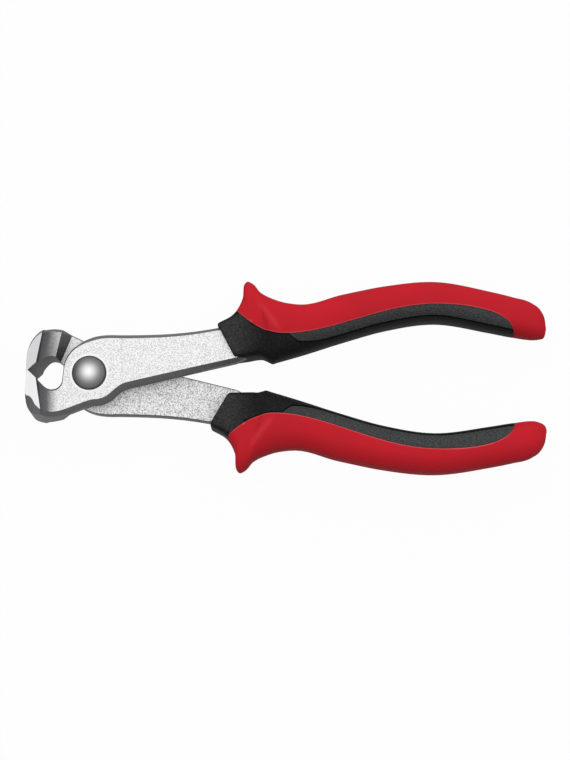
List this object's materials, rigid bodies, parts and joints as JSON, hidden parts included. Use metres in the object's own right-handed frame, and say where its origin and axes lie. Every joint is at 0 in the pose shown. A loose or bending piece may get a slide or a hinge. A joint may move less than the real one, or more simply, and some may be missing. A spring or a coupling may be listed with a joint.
{
  "type": "end cutting nippers",
  "caption": "End cutting nippers: two forged levers on a riveted lap joint, wide jaws meeting across the end, and soft moulded grips with finger guards.",
  "frame": {"origin": "middle of the length and width, on the surface that the side of the head lies on", "axes": "+X along the tool towards the grips, +Z along the pivot axis"},
  "size_m": [0.1794, 0.067, 0.0236],
  "materials": {
    "lever_steel": "satin plated forging",
    "rivet_steel": "smooth dome",
    "red_plastic": "satin moulded",
    "black_rubber": "satin moulded",
    "pad_rubber": "stippled"
  },
  "bodies": {
    "front_half": {"front_lever": "lever_steel", "pivot_rivet": "rivet_steel", "upper_grip_core": "red_plastic", "upper_grip_skin": "black_rubber", "upper_grip_pad_front": "pad_rubber", "upper_grip_pad_back": "pad_rubber"},
    "back_half": {"back_lever": "lever_steel", "lower_grip_core": "red_plastic", "lower_grip_skin": "black_rubber", "lower_grip_pad_front": "pad_rubber", "lower_grip_pad_back": "pad_rubber"}
  },
  "joints": [
    {"name": "lever_pivot", "type": "hinge", "parent": "front_half", "child": "back_half", "pos_m": [-0.06838, 0, 0.0118], "axis": [0, 0, -1], "range_deg": [0, 34]}
  ]
}
